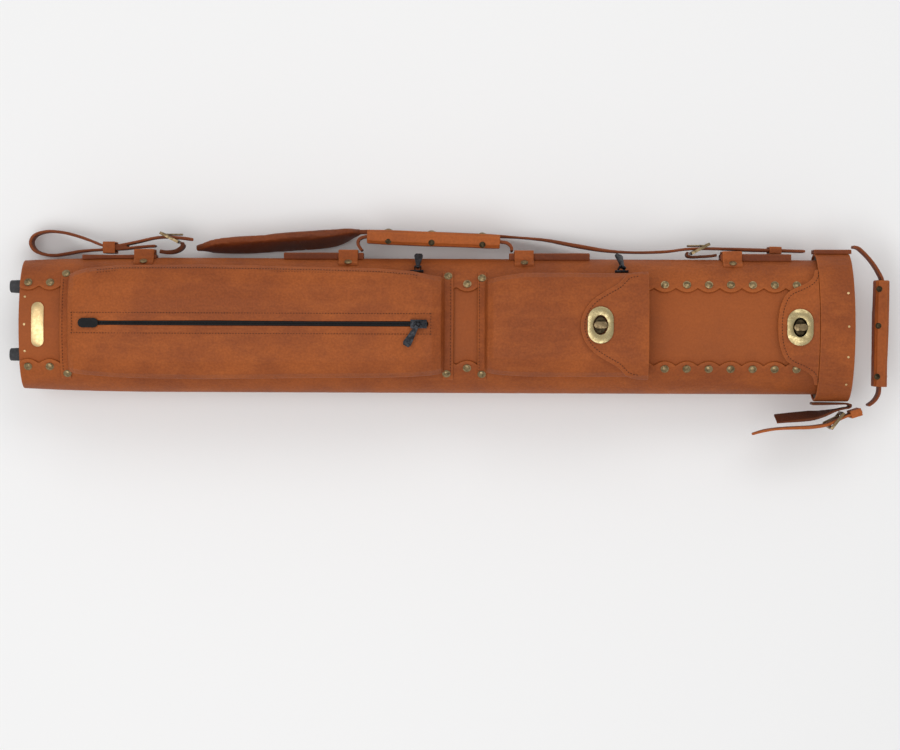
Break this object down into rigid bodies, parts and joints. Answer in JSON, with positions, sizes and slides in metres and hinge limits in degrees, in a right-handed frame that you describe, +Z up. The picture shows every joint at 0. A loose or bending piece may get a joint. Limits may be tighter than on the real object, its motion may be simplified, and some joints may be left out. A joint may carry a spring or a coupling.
{
  "type": "cue case",
  "caption": "Leather tube case for billiard cues, oval in section, with a slip-off lid, turn locks, zipped pockets, a carry handle, an end handle and a shoulder strap.",
  "frame": {"origin": "middle of the underside of the whole case's bounding box, as it lies on its back", "axes": "+X along the case from the footed base to the lid, +Y towards the carry handle, +Z up, out of the pockets"},
  "size_m": [0.9334, 0.2204, 0.1286],
  "materials": {
    "tan_leather": "waxed pull-up leather, semi-matt, lighter at bends and edges",
    "dark_leather": "raw flesh side and dyed edges, matt",
    "shell_board": "pressed fibre board, matt",
    "insert_foam": "black flocked foam",
    "pale_brass": "satin pale brass",
    "aged_brass": "antique brass",
    "black_zip": "black coil zip, slightly glossy",
    "gunmetal": "dark gunmetal",
    "dark_rubber": "dark grey rubber"
  },
  "bodies": {
    "case": {"wrap_cover": "tan_leather", "base_cover": "tan_leather", "hard_shell": "shell_board", "base_plug": "shell_board", "cue_insert": "insert_foam", "rubber_foot_1": "dark_rubber", "rubber_foot_2": "dark_rubber", "rubber_foot_3": "dark_rubber", "rubber_foot_4": "dark_rubber", "name_plate": "pale_brass", "large_pocket": "tan_leather", "face_zip": "black_zip", "large_top_zip": "black_zip", "small_pocket": "tan_leather", "small_top_zip": "black_zip", "anchor_strip_1": "tan_leather", "anchor_strip_2": "tan_leather", "anchor_strip_3": "tan_leather", "anchor_strip_4": "tan_leather", "saddle_1": "tan_leather", "saddle_2": "tan_leather", "saddle_3": "tan_leather", "saddle_4": "tan_leather", "lid_lock_base": "pale_brass", "flap_lock_base": "pale_brass"},
    "lid": {"lid_cap": "tan_leather", "lid_liner": "shell_board", "end_anchor_top": "tan_leather", "end_billet": "dark_leather", "end_buckle": "aged_brass", "end_buckle_prong": "aged_brass", "end_tail_strap": "tan_leather", "end_keeper": "tan_leather"},
    "tongue": {"lid_tongue": "tan_leather", "lid_lock_plate": "pale_brass"},
    "lid_knob": {"lid_lock_knob": "pale_brass"},
    "flap": {"pocket_flap": "tan_leather", "flap_lock_plate": "pale_brass"},
    "flap_knob": {"flap_lock_knob": "pale_brass"},
    "face_slider": {"face_zip_slider": "gunmetal"},
    "face_pull": {"face_zip_pull": "gunmetal"},
    "large_slider": {"large_top_slider": "gunmetal"},
    "large_pull": {"large_top_pull": "gunmetal"},
    "small_slider": {"small_top_slider": "gunmetal"},
    "small_pull": {"small_top_pull": "gunmetal"},
    "carry_handle": {"handle_grip": "tan_leather", "handle_strap": "tan_leather"},
    "shoulder_strap": {"strap_left": "tan_leather", "keeper_left": "tan_leather", "buckle_left": "aged_brass", "buckle_left_prong": "aged_brass", "strap_loop_left": "dark_leather", "shoulder_pad": "dark_leather", "strap_right": "tan_leather", "keeper_right": "tan_leather", "buckle_right": "aged_brass", "buckle_right_prong": "aged_brass", "strap_loop_right": "dark_leather"},
    "end_handle": {"end_strap": "tan_leather", "end_grip": "tan_leather"}
  },
  "joints": [
    {"name": "lid_slide", "type": "slide", "parent": "case", "child": "lid", "axis": [1, 0, 0], "range_m": [0, 0.2]},
    {"name": "tongue_hinge", "type": "hinge", "parent": "lid", "child": "tongue", "pos_m": [0.3866, 0.0052, 0.10144], "axis": [0, 1, 0], "range_deg": [0, 75]},
    {"name": "lid_lock_turn", "type": "hinge", "parent": "case", "child": "lid_knob", "pos_m": [0.3656, 0.0052, 0.10444], "axis": [0, 0, 1], "range_deg": [0, 90]},
    {"name": "flap_hinge", "type": "hinge", "parent": "case", "child": "flap", "pos_m": [0.2066, 0.0062, 0.12114], "axis": [0, 1, 0], "range_deg": [0, 150]},
    {"name": "flap_lock_turn", "type": "hinge", "parent": "case", "child": "flap_knob", "pos_m": [0.1556, 0.0068, 0.12644], "axis": [0, 0, 1], "range_deg": [0, 90]},
    {"name": "face_zip_slide", "type": "slide", "parent": "case", "child": "face_slider", "axis": [1, 0, 0], "range_m": [-0.318, 0]},
    {"name": "face_pull_hinge", "type": "hinge", "parent": "face_slider", "child": "face_pull", "pos_m": [-0.03354, 0.00685, 0.12582], "axis": [-0.8706, 0.4921, 0], "range_deg": [0, 120]},
    {"name": "large_top_zip_slide", "type": "slide", "parent": "case", "child": "large_slider", "axis": [1, 0, 0], "range_m": [-0.318, 0]},
    {"name": "large_pull_hinge", "type": "hinge", "parent": "large_slider", "child": "large_pull", "pos_m": [-0.0344, 0.06723, 0.08831], "axis": [0.9995, -0.0187, 0.0236], "range_deg": [0, 60]},
    {"name": "small_top_zip_slide", "type": "slide", "parent": "case", "child": "small_slider", "axis": [1, 0, 0], "range_m": [-0.108, 0]},
    {"name": "small_pull_hinge", "type": "hinge", "parent": "small_slider", "child": "small_pull", "pos_m": [0.18051, 0.06764, 0.08958], "axis": [0.8957, -0.2331, -0.3788], "range_deg": [0, 60]},
    {"name": "carry_handle_swing", "type": "hinge", "parent": "case", "child": "carry_handle", "pos_m": [-0.0154, 0.083, 0.06144], "axis": [1, 0, 0], "range_deg": [0, 50]},
    {"name": "shoulder_strap_swing", "type": "hinge", "parent": "case", "child": "shoulder_strap", "pos_m": [-0.0154, 0.0812, 0.05144], "axis": [1, 0, 0], "range_deg": [0, 55]},
    {"name": "end_handle_swing", "type": "hinge", "parent": "lid", "child": "end_handle", "pos_m": [0.4246, 0.0052, 0.05144], "axis": [0, 1, 0], "range_deg": [-55, 55]}
  ]
}
